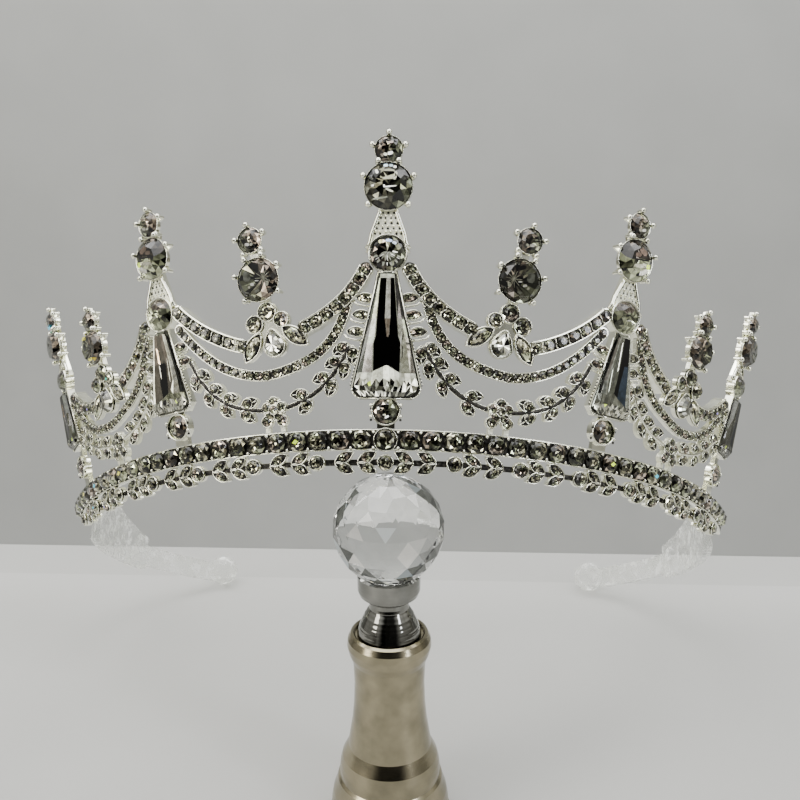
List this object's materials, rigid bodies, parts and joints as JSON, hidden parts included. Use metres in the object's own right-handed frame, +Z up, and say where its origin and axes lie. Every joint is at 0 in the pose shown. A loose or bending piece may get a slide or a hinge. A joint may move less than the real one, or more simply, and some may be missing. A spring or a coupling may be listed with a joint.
{
  "type": "crystal tiara on a display stand",
  "caption": "Pointed crystal tiara with openwork swags on a curved stone-set band, propped at the front on a plain ball-topped stand and at the back on clear arms.",
  "frame": {"origin": "centre of the underside of the stand's foot, on the table", "axes": "+Z up from the table, the front of the tiara faces -Y, +X to the right in the front view; the tiara is alike on both sides of x = -0.0005, half a millimetre off the stand's axis"},
  "size_m": [0.1634, 0.1116, 0.133],
  "materials": {
    "silver_plate": "bright polished silver-coloured plating over cast and soldered base metal",
    "foiled_crystal": "cut and polished clear crystal with a foiled back",
    "clear_acrylic": "clear moulded acrylic, polished",
    "clear_crystal": "clear faceted crystal without foil",
    "polished_chrome": "polished chrome plating",
    "warm_nickel": "satin-polished warm nickel plating"
  },
  "bodies": {
    "root": {"band_rail": "silver_plate", "leaf_row": "silver_plate", "crest_front": "silver_plate", "crest_left": "silver_plate", "crest_right": "silver_plate", "crest_left_end": "silver_plate", "crest_right_end": "silver_plate", "swag_left": "silver_plate", "swag_right": "silver_plate", "swag_left_end": "silver_plate", "swag_right_end": "silver_plate", "garland_left": "silver_plate", "garland_right": "silver_plate", "garland_left_end": "silver_plate", "garland_right_end": "silver_plate", "front_top_stone": "foiled_crystal", "front_big_stone": "foiled_crystal", "front_round_stone": "foiled_crystal", "front_taper_stone": "foiled_crystal", "crest_left_top_stone": "foiled_crystal", "crest_left_big_stone": "foiled_crystal", "crest_left_round_stone": "foiled_crystal", "crest_left_taper_stone": "foiled_crystal", "crest_right_top_stone": "foiled_crystal", "crest_right_big_stone": "foiled_crystal", "crest_right_round_stone": "foiled_crystal", "crest_right_taper_stone": "foiled_crystal", "left_end_top_stone": "foiled_crystal", "left_end_big_stone": "foiled_crystal", "left_end_round_stone": "foiled_crystal", "left_end_taper_stone": "foiled_crystal", "right_end_top_stone": "foiled_crystal", "right_end_big_stone": "foiled_crystal", "right_end_round_stone": "foiled_crystal", "right_end_taper_stone": "foiled_crystal", "drop_left_top_stone": "foiled_crystal", "drop_left_big_stone": "foiled_crystal", "drop_left_pear_stone": "foiled_crystal", "drop_right_top_stone": "foiled_crystal", "drop_right_big_stone": "foiled_crystal", "drop_right_pear_stone": "foiled_crystal", "drop_left_end_top_stone": "foiled_crystal", "drop_left_end_big_stone": "foiled_crystal", "drop_left_end_pear_stone": "foiled_crystal", "drop_right_end_top_stone": "foiled_crystal", "drop_right_end_big_stone": "foiled_crystal", "drop_right_end_pear_stone": "foiled_crystal", "base_stones": "foiled_crystal", "drop_small_stones": "foiled_crystal", "band_stone_row": "foiled_crystal", "leaf_stone_row": "foiled_crystal", "swag_stone_rows": "foiled_crystal", "clear_arm_left": "clear_acrylic", "clear_arm_right": "clear_acrylic", "stand_ball": "clear_crystal", "stand_cup": "polished_chrome", "stand_column": "warm_nickel"}
  },
  "joints": []
}
